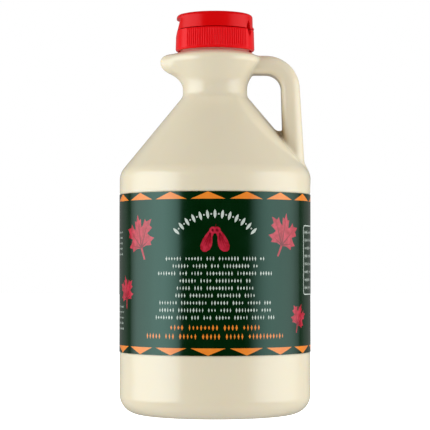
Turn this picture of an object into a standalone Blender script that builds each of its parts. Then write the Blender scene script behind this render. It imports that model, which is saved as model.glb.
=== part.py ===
"""A one-litre maple syrup jug: a blow-moulded plastic jug with a handle and a pouring lip,
a printed wrap label, and a flip-top cap that is shut. Metres, +Z up, the origin under the
middle of the base. The lip points along -X and the handle along +X."""

import math

import bmesh
import bpy
from mathutils import Matrix, Vector

MM = 0.001

# Driving sizes, in millimetres

BODY_RADIUS = 48.8
BASE_CORNER = 10.0
SHOULDER_HEIGHT = 122.5
SHOULDER_ROUND = 12.0
CONE_ANGLE = math.radians(39.3)
WAIST_RADIUS = 16.5
WAIST_HEIGHT = 165.7
WAIST_ROUND_BELOW = 10.0
RIM_RADIUS = 23.4
RIM_ROUND_BELOW = 7.6
RIM_ROUND_ABOVE = 3.6
COLLAR_SLOPE = math.radians(27.0)
NECK_RADIUS = 17.65
NECK_FOOT = 184.9
NECK_TOP = 186.9

BASE_RING_INNER = 31.0
BASE_RECESS = 3.2

LABEL_LOW = 31.5
LABEL_HIGH = 111.4
LABEL_THICKNESS = 0.25
LABEL_PROUD = 0.15
GAP = 0.3

LIP_NOSE_RADIUS = 4.0
LIP_NOSE_X = -24.1
LIP_NOSE_Z = 179.8
LIP_FOOT_HEIGHT = 170.8

GRIP_THICKNESS = 9.5
GRIP_WIDTH = 15.0
GRIP_TOP_LINE = 178.1
GRIP_BEND_X = 26.1
GRIP_BEND = 12.6
GRIP_FOOT_X = 40.5
GRIP_FOOT_Z = 125.0
GRIP_FOOT_SCALE = 1.15
GRIP_OUTER_ROUND = 4.3
GRIP_INNER_ROUND = 2.7

WEB_TOP = 144.4
WEB_THICKNESS = 3.0

CAP_BOTTOM = 185.25
CAP_TOP = 203.9
CAP_SPLIT = 195.95
SKIRT_RADIUS_LOW = 20.3
SKIRT_RADIUS_HIGH = 20.0
SKIRT_ROUND = 1.2
SKIRT_WALL = 1.4
LID_RADIUS_LOW = 19.5
LID_RADIUS_HIGH = 19.3
LID_ROUND = 1.5

RIB_PITCH = math.radians(3.75)
RIB_RADIUS = 0.42
RIB_PROUD = 0.22
RIB_LOW = 187.1
RIB_HIGH = 195.4
RIBS_FROM_LIP_SIDE = math.radians(44.0)
RIBS_FROM_HINGE_SIDE = math.radians(38.0)

THUMB_DEPTH_X = -17.6
THUMB_TOP = 201.4
THUMB_SLANT = math.radians(15.9)

HINGE_SLIT_ANGLE = math.radians(29.0)
HINGE_SLIT_HEIGHT = 7.4
HINGE_SLIT_WIDTH = 2.8
HINGE_SLIT_DEPTH = 1.6
HINGE_BEAD_RADIUS = 0.62
HINGE_BEAD_LENGTH = 8.0

# Smoothness of the faceted solids

TURNS = 72
CAP_TURNS = 72
ARC_STEP = math.radians(12.0)


def clear_scene():
    for obj in list(bpy.data.objects):
        bpy.data.objects.remove(obj)


def new_collection(name, hidden=False):
    collection = bpy.data.collections.new(name)
    bpy.context.scene.collection.children.link(collection)
    collection.hide_render = hidden
    return collection


def plastic(name, colour, roughness):
    material = bpy.data.materials.new(name)
    material.use_nodes = True
    shader = material.node_tree.nodes["Principled BSDF"]
    shader.inputs["Base Color"].default_value = (*colour, 1.0)
    shader.inputs["Roughness"].default_value = roughness
    shader.inputs["Metallic"].default_value = 0.0
    material.diffuse_color = (*colour, 1.0)
    return material


def object_from_bmesh(name, mesh_data, collection, material=None):
    bmesh.ops.recalc_face_normals(mesh_data, faces=mesh_data.faces)
    mesh = bpy.data.meshes.new(name)
    mesh_data.to_mesh(mesh)
    mesh_data.free()
    obj = bpy.data.objects.new(name, mesh)
    collection.objects.link(obj)
    if material:
        mesh.materials.append(material)
    return obj


def helper(obj):
    """Marks a cutter or a piece that a Boolean joins, so that it isn't part of the object."""
    obj.hide_render = True
    obj.display_type = "WIRE"
    return obj


def arc(centre, radius, start, end):
    """Points (r, z) along an arc, both ends included, from angle start to angle end."""
    steps = max(2, math.ceil(abs(end - start) / ARC_STEP))
    points = []
    for i in range(steps + 1):
        angle = start + (end - start) * i / steps
        points.append((centre[0] + radius * math.cos(angle), centre[1] + radius * math.sin(angle)))
    return points


def turned(name, profile, turns, collection, material=None, closed=False):
    """A solid of revolution from (r, z) points in millimetres that run down its outer side."""
    outline = bmesh.new()
    corners = [outline.verts.new((r * MM, 0.0, z * MM)) for r, z in profile]
    for first, second in zip(corners, corners[1:]):
        outline.edges.new((first, second))
    if closed:
        outline.edges.new((corners[-1], corners[0]))
    mesh = bpy.data.meshes.new(name)
    outline.to_mesh(mesh)
    outline.free()
    obj = bpy.data.objects.new(name, mesh)
    collection.objects.link(obj)
    screw = obj.modifiers.new("turn", "SCREW")
    screw.steps = screw.render_steps = turns
    screw.use_merge_vertices = True
    screw.merge_threshold = 0.00001
    if material:
        mesh.materials.append(material)
    return obj


def convex_skin(name, points, collection):
    """The tightest convex solid round the vertices of the mesh data points."""
    bmesh.ops.delete(points, geom=points.edges, context="EDGES_FACES")
    hull = bmesh.ops.convex_hull(points, input=points.verts)
    inside = [item for item in hull["geom_interior"] if isinstance(item, bmesh.types.BMVert)]
    bmesh.ops.delete(points, geom=inside, context="VERTS")
    return helper(object_from_bmesh(name, points, collection))


def union(obj, pieces):
    """Joins the objects of the collection pieces to obj, and removes them."""
    joined = obj.modifiers.new("join", "BOOLEAN")
    joined.operation = "UNION"
    joined.operand_type = "COLLECTION"
    joined.collection = pieces
    joined.solver = "EXACT"
    apply_modifiers(obj)
    for piece in list(pieces.objects):
        bpy.data.objects.remove(piece)
    bpy.data.collections.remove(pieces)


def cut(obj, cutter):
    modifier = obj.modifiers.new("cut " + cutter.name, "BOOLEAN")
    modifier.operation = "DIFFERENCE"
    modifier.object = cutter
    modifier.solver = "EXACT"


def apply_modifiers(obj):
    """Turns obj's evaluated shape into its own mesh."""
    bpy.context.view_layer.update()
    graph = bpy.context.evaluated_depsgraph_get()
    mesh = bpy.data.meshes.new_from_object(obj.evaluated_get(graph))
    obj.modifiers.clear()
    obj.data = mesh


def curve_to_mesh(curve_object, collection):
    """A closed mesh object from a curve whose caps are welded. The curve is removed."""
    bpy.context.view_layer.update()
    graph = bpy.context.evaluated_depsgraph_get()
    mesh = bpy.data.meshes.new_from_object(curve_object.evaluated_get(graph))
    welded = bmesh.new()
    welded.from_mesh(mesh)
    bmesh.ops.remove_doubles(welded, verts=welded.verts, dist=0.00001)
    bmesh.ops.recalc_face_normals(welded, faces=welded.faces)
    welded.to_mesh(mesh)
    welded.free()
    obj = bpy.data.objects.new(curve_object.name + "_mesh", mesh)
    obj.matrix_world = curve_object.matrix_world
    collection.objects.link(obj)
    bpy.data.objects.remove(curve_object)
    return obj


# The jug


def base_profile():
    """From the body's foot to the axis: the round corner, the flat ring, the pushed-up middle."""
    corner = (BODY_RADIUS - BASE_CORNER, BASE_CORNER)
    points = arc(corner, BASE_CORNER, 0.0, -math.pi / 2)
    dome = [(BASE_RING_INNER, 0.0)]
    for share in (0.9, 0.75, 0.5, 0.25):
        dome.append((BASE_RING_INNER * share, BASE_RECESS * (1.0 - share**4)))
    return points + dome + [(0.0, BASE_RECESS)]


def collar_profile():
    """From the neck's top down to the waist: two arcs that meet in one slope join rim and waist."""
    corner_z = NECK_FOOT - (RIM_RADIUS - NECK_RADIUS) * math.tan(COLLAR_SLOPE)
    turn = math.pi / 2 - COLLAR_SLOPE
    rim_z = corner_z - RIM_ROUND_ABOVE * math.tan(turn / 2)
    rim_top = arc((RIM_RADIUS - RIM_ROUND_ABOVE, rim_z), RIM_ROUND_ABOVE, turn, 0.0)

    reach = RIM_RADIUS - WAIST_RADIUS
    rise = rim_z - WAIST_HEIGHT
    bend = 2 * math.atan(reach / rise)
    round_above = rise / math.sin(bend) - RIM_ROUND_BELOW
    rim_below = arc((RIM_RADIUS - RIM_ROUND_BELOW, rim_z), RIM_ROUND_BELOW, 0.0, -bend)
    waist = (WAIST_RADIUS + round_above, WAIST_HEIGHT)
    waist_above = arc(waist, round_above, math.pi - bend, math.pi)
    neck = [(0.0, NECK_TOP), (NECK_RADIUS - 0.3, NECK_TOP), (NECK_RADIUS, NECK_TOP - 0.3)]
    return neck + [(NECK_RADIUS, NECK_FOOT)] + rim_top + rim_below[1:] + waist_above[1:]


def shoulder_profile():
    """From the waist down the cone and over the shoulder to the straight side."""
    waist = (WAIST_RADIUS + WAIST_ROUND_BELOW, WAIST_HEIGHT)
    waist_below = arc(waist, WAIST_ROUND_BELOW, math.pi, math.pi + CONE_ANGLE)
    tangent = SHOULDER_ROUND * math.tan(CONE_ANGLE / 2)
    centre = (BODY_RADIUS - SHOULDER_ROUND, SHOULDER_HEIGHT - tangent)
    return waist_below[1:] + arc(centre, SHOULDER_ROUND, CONE_ANGLE, 0.0)


def label_recess():
    """The straight side, with the shallow step that the label lies in."""
    step = LABEL_THICKNESS + GAP - LABEL_PROUD
    return [
        (BODY_RADIUS, LABEL_HIGH + GAP),
        (BODY_RADIUS - step, LABEL_HIGH + GAP),
        (BODY_RADIUS - step, LABEL_LOW - GAP),
        (BODY_RADIUS, LABEL_LOW - GAP),
    ]


def make_pouring_lip(collection):
    """The pointed lip: a convex skin over the collar's rim and a ball at the lip's nose."""
    skin = bmesh.new()
    bmesh.ops.create_uvsphere(
        skin,
        u_segments=20,
        v_segments=12,
        radius=LIP_NOSE_RADIUS * MM,
        matrix=Matrix.Translation((LIP_NOSE_X * MM, 0.0, LIP_NOSE_Z * MM)),
    )
    rings = (
        (NECK_RADIUS - 0.2, NECK_FOOT - 0.4),
        (RIM_RADIUS - 2.0, LIP_NOSE_Z + 2.4),
        (RIM_RADIUS - 0.8, LIP_NOSE_Z),
        (RIM_RADIUS - 2.0, LIP_NOSE_Z - 2.4),
        (WAIST_RADIUS + 0.8, LIP_FOOT_HEIGHT),
    )
    for radius, height in rings:
        bmesh.ops.create_circle(
            skin,
            segments=TURNS // 2,
            radius=radius * MM,
            matrix=Matrix.Translation((0.0, 0.0, height * MM)),
        )
    return convex_skin("pouring_lip", skin, collection)


def grip_section(collection):
    """The handle's section as a closed curve, thin across the hand and wide along Y."""
    half = GRIP_THICKNESS / 2
    side = GRIP_WIDTH / 2
    corners = (
        (half - GRIP_OUTER_ROUND, side - GRIP_OUTER_ROUND, GRIP_OUTER_ROUND, 0.0),
        (-half + GRIP_INNER_ROUND, side - GRIP_INNER_ROUND, GRIP_INNER_ROUND, math.pi / 2),
        (-half + GRIP_INNER_ROUND, -side + GRIP_INNER_ROUND, GRIP_INNER_ROUND, math.pi),
        (half - GRIP_OUTER_ROUND, -side + GRIP_OUTER_ROUND, GRIP_OUTER_ROUND, 1.5 * math.pi),
    )
    curve = bpy.data.curves.new("grip_section", "CURVE")
    curve.dimensions = "2D"
    spline = curve.splines.new("POLY")
    points = []
    for x, y, radius, start in corners:
        for i in range(5):
            angle = start + math.pi / 2 * i / 4
            points.append((x + radius * math.cos(angle), y + radius * math.sin(angle)))
    spline.points.add(len(points) - 1)
    for point, (x, y) in zip(spline.points, points):
        point.co = (y * MM, x * MM, 0.0, 1.0)
    spline.use_cyclic_u = True
    obj = bpy.data.objects.new("grip_section", curve)
    collection.objects.link(obj)
    return helper(obj)


def grip_route():
    """The handle's middle line as (x, z, scale): out of the collar, round the bend, down."""
    bend_centre_z = GRIP_TOP_LINE - GRIP_BEND
    route = [(14.0, GRIP_TOP_LINE, 1.0), (20.0, GRIP_TOP_LINE, 1.0)]
    turns = 12
    for i in range(turns + 1):
        angle = math.pi / 2 * (1 - i / turns)
        x = GRIP_BEND_X + GRIP_BEND * math.cos(angle)
        route.append((x, bend_centre_z + GRIP_BEND * math.sin(angle), 1.0))
    straights = 4
    for i in range(1, straights + 1):
        share = i / straights
        x = GRIP_BEND_X + GRIP_BEND + (GRIP_FOOT_X - GRIP_BEND_X - GRIP_BEND) * share
        z = bend_centre_z + (GRIP_FOOT_Z - bend_centre_z) * share
        route.append((x, z, 1.0 + (GRIP_FOOT_SCALE - 1.0) * share))
    return route


def make_grip(collection, cutters):
    curve = bpy.data.curves.new("grip", "CURVE")
    curve.dimensions = "3D"
    curve.twist_mode = "Z_UP"
    curve.bevel_mode = "OBJECT"
    curve.bevel_object = grip_section(cutters)
    curve.use_fill_caps = True
    spline = curve.splines.new("POLY")
    route = grip_route()
    spline.points.add(len(route) - 1)
    for point, (x, z, scale) in zip(spline.points, route):
        point.co = (x * MM, 0.0, z * MM, 1.0)
        point.radius = scale
    obj = bpy.data.objects.new("grip", curve)
    collection.objects.link(obj)
    return helper(curve_to_mesh(obj, collection))


def make_web(collection):
    """The thin wall that closes the sharp corner under the handle's gap."""
    outline = ((26.0, WEB_TOP), (37.0, WEB_TOP), (42.0, 128.0), (30.0, 128.0))
    curve = bpy.data.curves.new("web", "CURVE")
    curve.dimensions = "2D"
    curve.fill_mode = "BOTH"
    curve.extrude = WEB_THICKNESS / 2 * MM
    spline = curve.splines.new("POLY")
    spline.points.add(len(outline) - 1)
    for point, (x, z) in zip(spline.points, outline):
        point.co = (x * MM, z * MM, 0.0, 1.0)
    spline.use_cyclic_u = True
    obj = bpy.data.objects.new("web", curve)
    obj.rotation_euler = (math.pi / 2, 0.0, 0.0)
    collection.objects.link(obj)
    return helper(curve_to_mesh(obj, collection))


def make_ridge(collection):
    """The low ridge on the cone that widens towards the handle's foot and dies away below it."""
    outward = Vector((math.cos(CONE_ANGLE), 0.0, math.sin(CONE_ANGLE)))
    on_cone = ((19.3, 158.6, 6.0, 0.45), (39.8, 133.5, 13.0, 1.9))
    balls = [(Vector((x, 0.0, z)) - outward * (size - proud), size) for x, z, size, proud in on_cone]
    balls.append((Vector((BODY_RADIUS - SHOULDER_ROUND, 0.0, 120.1)), SHOULDER_ROUND - 0.05))
    skin = bmesh.new()
    for centre, size in balls:
        bmesh.ops.create_uvsphere(
            skin,
            u_segments=20,
            v_segments=12,
            radius=size * MM,
            matrix=Matrix.Translation(centre * MM),
        )
    return convex_skin("ridge", skin, collection)


def make_jug(parts, cutters, material):
    profile = collar_profile() + shoulder_profile() + label_recess() + base_profile()
    jug = turned("jug", profile, TURNS, parts, material)
    joined = new_collection("joined to the jug")
    make_pouring_lip(joined)
    make_grip(joined, cutters)
    make_web(joined)
    make_ridge(joined)
    union(jug, joined)
    return jug


# The label


def make_label(parts, material):
    outer = BODY_RADIUS + LABEL_PROUD
    inner = outer - LABEL_THICKNESS
    profile = [(outer, LABEL_HIGH), (outer, LABEL_LOW), (inner, LABEL_LOW), (inner, LABEL_HIGH)]
    return turned("label", profile, TURNS, parts, material, closed=True)


# The cap


def make_thumb_cutter(cutters):
    """A slanted block that hollows the cap under the lid's thumb edge."""
    block = bmesh.new()
    bmesh.ops.create_cube(block, size=1.0)
    size = Vector((8.0, 30.0, 20.0))
    bmesh.ops.scale(block, vec=size * MM, verts=block.verts)
    bmesh.ops.translate(block, vec=Vector((-size.x / 2, 0.0, -size.z / 2)) * MM, verts=block.verts)
    obj = object_from_bmesh("thumb_cutter", block, cutters)
    obj.rotation_euler = (0.0, THUMB_SLANT, 0.0)
    obj.location = Vector((THUMB_DEPTH_X, 0.0, THUMB_TOP)) * MM
    return helper(obj)


def make_slit_cutters(cutters):
    """The two pointed slits beside the hinge strap."""
    made = []
    for side in (-1, 1):
        angle = side * HINGE_SLIT_ANGLE
        slit = bmesh.new()
        bmesh.ops.create_uvsphere(slit, u_segments=16, v_segments=10, radius=1.0)
        size = Vector((HINGE_SLIT_DEPTH, HINGE_SLIT_WIDTH / 2, HINGE_SLIT_HEIGHT / 2))
        bmesh.ops.scale(slit, vec=size * MM, verts=slit.verts)
        obj = object_from_bmesh("slit_cutter", slit, cutters)
        obj.rotation_euler = (0.0, 0.0, angle)
        radius = SKIRT_RADIUS_HIGH + 0.1
        place = Vector((radius * math.cos(angle), radius * math.sin(angle), CAP_SPLIT + 0.2))
        obj.location = place * MM
        made.append(helper(obj))
    return made


def rib_angles():
    """Angles round the cap, from +X, of the ribs on the camera's side and on the far side."""
    start = RIBS_FROM_HINGE_SIDE
    count = int((math.pi - RIBS_FROM_LIP_SIDE - start) / RIB_PITCH) + 1
    near = [-(start + i * RIB_PITCH) for i in range(count)]
    return near + [-angle for angle in near]


def make_ribs(collection):
    for angle in rib_angles():
        rib = bmesh.new()
        bmesh.ops.create_cone(
            rib,
            cap_ends=True,
            segments=8,
            radius1=RIB_RADIUS * MM,
            radius2=RIB_RADIUS * MM,
            depth=(RIB_HIGH - RIB_LOW) * MM,
        )
        obj = object_from_bmesh("rib", rib, collection)
        lean = math.atan((SKIRT_RADIUS_LOW - SKIRT_RADIUS_HIGH) / (CAP_SPLIT - CAP_BOTTOM))
        obj.rotation_euler = (0.0, -lean, angle)
        middle = (SKIRT_RADIUS_LOW + SKIRT_RADIUS_HIGH) / 2 + RIB_PROUD - RIB_RADIUS
        place = Vector((middle * math.cos(angle), middle * math.sin(angle), (RIB_LOW + RIB_HIGH) / 2))
        obj.location = place * MM
        helper(obj)


def make_cap_base(parts, cutters, material):
    top = CAP_SPLIT - GAP / 2
    inside_top = NECK_TOP + GAP
    skirt_inner = SKIRT_RADIUS_LOW - SKIRT_WALL
    corner = (SKIRT_RADIUS_LOW - SKIRT_ROUND, CAP_BOTTOM + SKIRT_ROUND)
    profile = [(0.0, top), (SKIRT_RADIUS_HIGH - 0.25, top), (SKIRT_RADIUS_HIGH, top - 0.25)]
    profile += arc(corner, SKIRT_ROUND, 0.0, -math.pi / 2)
    profile += [(skirt_inner, CAP_BOTTOM), (skirt_inner - 0.3, inside_top), (0.0, inside_top)]
    base = turned("cap_base", profile, CAP_TURNS, parts, material)
    ribs = new_collection("ribs")
    make_ribs(ribs)
    union(base, ribs)
    for cutter in cutters:
        cut(base, cutter)
    apply_modifiers(base)
    return base


def make_hinge_bead(collection):
    """The rounded bead that the film hinge makes when the lid is shut."""
    bead = bmesh.new()
    bmesh.ops.create_cone(
        bead,
        cap_ends=True,
        segments=12,
        radius1=HINGE_BEAD_RADIUS * MM,
        radius2=HINGE_BEAD_RADIUS * MM,
        depth=HINGE_BEAD_LENGTH * MM,
    )
    obj = object_from_bmesh("hinge_bead", bead, collection)
    obj.rotation_euler = (math.pi / 2, 0.0, 0.0)
    height = CAP_SPLIT + GAP / 2 + HINGE_BEAD_RADIUS
    obj.location = Vector((LID_RADIUS_LOW, 0.0, height)) * MM
    return helper(obj)


def make_cap_lid(parts, cutters, material):
    bottom = CAP_SPLIT + GAP / 2
    profile = [(0.0, CAP_TOP)]
    profile += arc((LID_RADIUS_HIGH - LID_ROUND, CAP_TOP - LID_ROUND), LID_ROUND, math.pi / 2, 0.0)
    profile += [(LID_RADIUS_LOW, bottom + 0.25), (LID_RADIUS_LOW - 0.25, bottom), (0.0, bottom)]
    lid = turned("cap_lid", profile, CAP_TURNS, parts, material)
    bead = new_collection("bead")
    make_hinge_bead(bead)
    union(lid, bead)
    for cutter in cutters:
        cut(lid, cutter)
    apply_modifiers(lid)
    return lid


def smooth_round_faces(obj):
    obj.data.shade_smooth()
    obj.data.set_sharp_from_angle(angle=math.radians(30.0))


def main():
    clear_scene()
    parts = new_collection("maple syrup jug")
    helpers = new_collection("cutters", hidden=True)
    cream = plastic("cream plastic", (0.72, 0.66, 0.50), 0.38)
    print_green = plastic("printed green film", (0.012, 0.06, 0.03), 0.28)
    red = plastic("red plastic", (0.62, 0.01, 0.015), 0.35)
    cutters = [make_thumb_cutter(helpers)] + make_slit_cutters(helpers)
    made = [
        make_jug(parts, helpers, cream),
        make_label(parts, print_green),
        make_cap_base(parts, cutters, red),
        make_cap_lid(parts, cutters, red),
    ]
    for obj in made:
        if not obj.modifiers:
            smooth_round_faces(obj)


main()
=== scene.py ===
# %% [markdown]
# A jug of maple syrup: a cream plastic jug with a handle and a pouring lip, a green printed film
# round its body, and a red flip-top cap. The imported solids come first. They fix where every piece
# is and how large it is, so each finer piece below is measured from them and stands in their place.

# %% Load the frame
import itertools
import math
import random

import bpy
import numpy as np
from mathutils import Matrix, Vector
from mathutils.geometry import delaunay_2d_cdt


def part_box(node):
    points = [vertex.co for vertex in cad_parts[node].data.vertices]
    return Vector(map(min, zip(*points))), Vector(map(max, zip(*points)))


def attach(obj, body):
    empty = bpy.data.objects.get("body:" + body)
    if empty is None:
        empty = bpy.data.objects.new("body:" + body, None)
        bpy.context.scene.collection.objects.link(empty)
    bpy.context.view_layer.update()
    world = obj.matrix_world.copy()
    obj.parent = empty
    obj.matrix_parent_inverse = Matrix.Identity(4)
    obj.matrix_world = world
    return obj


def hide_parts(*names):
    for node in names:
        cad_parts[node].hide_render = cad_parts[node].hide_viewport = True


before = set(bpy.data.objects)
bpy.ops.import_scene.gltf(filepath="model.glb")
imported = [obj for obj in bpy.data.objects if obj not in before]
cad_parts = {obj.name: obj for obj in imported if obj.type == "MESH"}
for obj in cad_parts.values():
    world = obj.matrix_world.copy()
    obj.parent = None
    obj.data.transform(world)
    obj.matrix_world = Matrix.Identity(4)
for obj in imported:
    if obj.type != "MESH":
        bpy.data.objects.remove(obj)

scene = bpy.context.scene
MM = 0.001
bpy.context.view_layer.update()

# %% [markdown]
# A product photo is taken from some way off with a long lens, so that the sides of a round pack
# look parallel. The distance and the height come from how strongly the level rings of the jug
# curve in the photo: they look straight at the height of the lens and bend more further from it.
# The lens is turned up a little instead of being shifted, which keeps other views in frame.

# %% Camera
CAMERA_DISTANCE = 892.0
CAMERA_HEIGHT = 74.2
PHOTO_SIZE = 430
FOCAL_PIXELS = 1739.0
HORIZON_ROW = 267.75
SENSOR_WIDTH = 36.0

camera_data = bpy.data.cameras.new("camera")
camera_data.sensor_width = SENSOR_WIDTH
camera_data.lens = SENSOR_WIDTH * FOCAL_PIXELS / PHOTO_SIZE
camera = bpy.data.objects.new("camera", camera_data)
scene.collection.objects.link(camera)
pitch = math.atan((HORIZON_ROW - PHOTO_SIZE / 2) / FOCAL_PIXELS)
camera.location = Vector((0.0, -CAMERA_DISTANCE, CAMERA_HEIGHT)) * MM
camera.rotation_euler = (math.pi / 2 + pitch, 0.0, 0.0)
scene.camera = camera
print(f"lens {camera_data.lens:.1f} mm, turned up {math.degrees(pitch):.2f} degrees")

# %% [markdown]
# Materials and lights are trees of nodes, and all of this file's trees are built the same way: a
# node is added, its fields are set, and each input gets a number or a link. A few helpers do that,
# and two more stand for the nodes that come up most: a change of range and a piece of arithmetic.

# %% Node helpers


def fill(node, inputs):
    """Gives each listed input of a node a number, or links it to an output."""
    for socket, value in inputs.items():
        if isinstance(value, bpy.types.NodeSocket):
            node.id_data.links.new(value, node.inputs[socket])
        else:
            node.inputs[socket].default_value = value


def node_maker(tree):
    """A short way to add a node to a tree, set its fields and fill its inputs."""

    def make(kind, inputs=None, **fields):
        node = tree.nodes.new(kind)
        for field, value in fields.items():
            setattr(node, field, value)
        fill(node, inputs or {})
        return node

    return make


def ranged(make, value, low, high, from_low=0.3, from_high=0.7, **fields):
    """A value moved from one range to another."""
    ends = {"From Min": from_low, "From Max": from_high, "To Min": low, "To Max": high}
    return make("ShaderNodeMapRange", {"Value": value, **ends}, **fields).outputs[0]


def worked_out(make, operation, *values):
    """The result of a Math node."""
    return make("ShaderNodeMath", dict(enumerate(values)), operation=operation).outputs[0]


scene.view_settings.view_transform = "Standard"
print("colours are shown as they are:", scene.view_settings.view_transform)

# %% [markdown]
# Glossy packs show their studio. Here two tall soft boxes stand left and right, and each draws a
# wide pale band down the film; between the bands the film reflects the dark room behind the
# camera. A band's edge on a cylinder reflects a direction twice as far round as its own place,
# which gives the angles at which each box begins and ends. The cloth of a real box isn't evenly
# bright: both are brightest a third of the way across, counted from the edge near the camera, and
# fade towards the far one. The light's own coordinates run from 0 to 1 across it, and a colour
# ramp turns them into brightness at the listed stops. The left box's are mirrored, so that 0 is
# the near edge of both.

# %% Soft boxes
BOX_NEAR_ANGLE = math.radians(36.0)
BOX_FAR_ANGLE = math.radians(118.0)
BOX_DISTANCE = 750.0
BOX_LOW = -220.0
BOX_HIGH = 470.0
LEFT_STOPS = (
    (0.05, 0.0), (0.09, 0.42), (0.14, 0.64), (0.19, 0.76), (0.24, 0.87), (0.34, 1.0),
    (0.47, 0.95), (0.57, 0.80), (0.70, 0.66), (0.81, 0.53), (0.89, 0.33), (1.0, 0.13),
)
RIGHT_STOPS = (
    (0.06, 0.0), (0.12, 0.22), (0.18, 0.46), (0.23, 0.66), (0.28, 0.81), (0.32, 0.90),
    (0.41, 1.0), (0.60, 0.89), (0.71, 0.76), (0.78, 0.63), (0.86, 0.42), (1.0, 0.19),
)
BOX_SIDES = (("soft_box_left", -1, 5.5, LEFT_STOPS), ("soft_box_right", 1, 3.75, RIGHT_STOPS))
BOX_COLOUR = (0.93, 1.0, 1.02)


def fade_across(light, stops):
    """Gives a light a brightness that changes from its near side, 0, to its far side, 1."""
    light.use_nodes = True
    make = node_maker(light.node_tree)
    across = make("ShaderNodeNewGeometry").outputs["Parametric"]
    split = make("ShaderNodeSeparateXYZ", {0: across})
    ramp = make("ShaderNodeValToRGB", {0: split.outputs["X"]})
    steps = ramp.color_ramp.elements
    while len(steps) < len(stops):
        steps.new(1.0)
    for step, (place, glow) in zip(steps, stops):
        step.position = place
        step.color = (glow, glow, glow, 1.0)
    fill(light.node_tree.nodes["Emission"], {"Strength": ramp.outputs[0]})


def add_soft_box(name, side, power, stops):
    """An upright area light; side is -1 for the left of the photo and 1 for the right."""
    middle = (BOX_NEAR_ANGLE + BOX_FAR_ANGLE) / 2
    half = (BOX_FAR_ANGLE - BOX_NEAR_ANGLE) / 2
    light = bpy.data.lights.new(name, "AREA")
    light.shape = "RECTANGLE"
    light.size = 2 * math.tan(half) * BOX_DISTANCE * MM
    light.size_y = (BOX_HIGH - BOX_LOW) * MM
    light.energy = power
    light.color = BOX_COLOUR
    fade_across(light, stops)
    box = bpy.data.objects.new(name, light)
    scene.collection.objects.link(box)
    place = Vector((side * math.sin(middle), -math.cos(middle), 0.0)) * BOX_DISTANCE
    place.z = (BOX_LOW + BOX_HIGH) / 2
    box.location = place * MM
    box.rotation_euler = (math.pi / 2, 0.0, math.atan2(place.x, -place.y))
    if side < 0:
        box.scale.x = -1.0
    box.visible_camera = False
    return box


for box_name, box_side, box_power, box_stops in BOX_SIDES:
    made = add_soft_box(box_name, box_side, box_power, box_stops)
    print(made.name, [round(c, 3) for c in made.location], f"{made.data.size:.2f} m wide")

# %% [markdown]
# The backdrop of the photo is pure white paper, and a plain white world gives that. What the jug
# reflects is another matter: paper behind the jug, darkness behind the camera. A Light Path node
# tells the three uses apart. For the camera the world is white. Where it only lights surfaces it
# is brightest round the horizon and towards both sides, where the boxes stand, and dimmer in front
# and behind. Where it is reflected it is dark in front, and pale behind and far down on the table.

# %% World
SKY_LIGHT = 0.67
HORIZON_LIGHT = 0.92
TABLE_LIGHT = 0.58
FRONT_SHARE = 0.745
SIDE_SHARE = 0.93
RIGHT_SHARE = 0.15
BACKDROP_GLOW = 0.19
BACKDROP_FROM = 0.45
BACKDROP_TO = 0.75
TABLE_GLOW = 0.4
TABLE_FROM = -0.35
TABLE_TO = -0.75


def make_world():
    world = bpy.data.worlds.new("studio")
    world.use_nodes = True
    world.node_tree.nodes.clear()
    make = node_maker(world.node_tree)
    path = make("ShaderNodeLightPath")
    direction = make("ShaderNodeTexCoord").outputs["Generated"]
    to_side, away, up = make("ShaderNodeSeparateXYZ", {0: direction}).outputs
    upper = ranged(make, up, HORIZON_LIGHT, SKY_LIGHT, 0.0, 1.0)
    lower = ranged(make, up, TABLE_LIGHT, HORIZON_LIGHT, -1.0, 0.0)
    level = worked_out(make, "MINIMUM", upper, lower)
    tilted = worked_out(make, "MULTIPLY_ADD", to_side, SIDE_SHARE, RIGHT_SHARE)
    share = worked_out(make, "MULTIPLY_ADD", to_side, tilted, FRONT_SHARE)
    behind = ranged(
        make, away, 0.0, BACKDROP_GLOW, BACKDROP_FROM, BACKDROP_TO, interpolation_type="SMOOTHSTEP"
    )
    below = ranged(make, up, 0.0, TABLE_GLOW, TABLE_FROM, TABLE_TO)

    def white(strength):
        background = {"Color": (1.0, 1.0, 1.0, 1.0), "Strength": strength}
        return make("ShaderNodeBackground", background).outputs[0]

    def by_use(use, otherwise, shown):
        mix = make("ShaderNodeMixShader", {0: path.outputs[use], 1: otherwise, 2: shown})
        return mix.outputs[0]

    lights = white(worked_out(make, "MULTIPLY", level, share))
    mirrored = white(worked_out(make, "MAXIMUM", behind, below))
    unseen = by_use("Is Glossy Ray", lights, mirrored)
    final = by_use("Is Camera Ray", unseen, white(1.0))
    make("ShaderNodeOutputWorld", {"Surface": final})
    scene.world = world


make_world()
print("world: above", SKY_LIGHT, "level", HORIZON_LIGHT, "below", TABLE_LIGHT)

# %% [markdown]
# The jug stands on the same white paper. A real sweep has no edge to be seen, so this one is a
# wide disc that is lit until it is nearly white by itself and fades a little where the jug stands.

# %% Floor
FLOOR_RADIUS = 4000.0
FLOOR_WHITE = 0.86
FLOOR_GLOW = 1.0


def make_floor():
    material = bpy.data.materials.new("white_sweep")
    material.use_nodes = True
    fill(material.node_tree.nodes["Principled BSDF"], {
        "Base Color": (FLOOR_WHITE, FLOOR_WHITE, FLOOR_WHITE, 1.0),
        "Roughness": 0.9,
        "Specular IOR Level": 0.1,
        "Emission Color": (1.0, 1.0, 1.0, 1.0),
        "Emission Strength": FLOOR_GLOW,
    })
    bpy.ops.mesh.primitive_circle_add(vertices=96, radius=FLOOR_RADIUS * MM, fill_type="NGON")
    floor = bpy.context.object
    floor.name = "floor"
    floor.data.materials.append(material)
    floor.visible_diffuse = False
    floor.visible_glossy = False
    floor.visible_shadow = False
    return floor


floor = make_floor()
print("floor:", round(floor.dimensions.x, 2), "m across")

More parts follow.
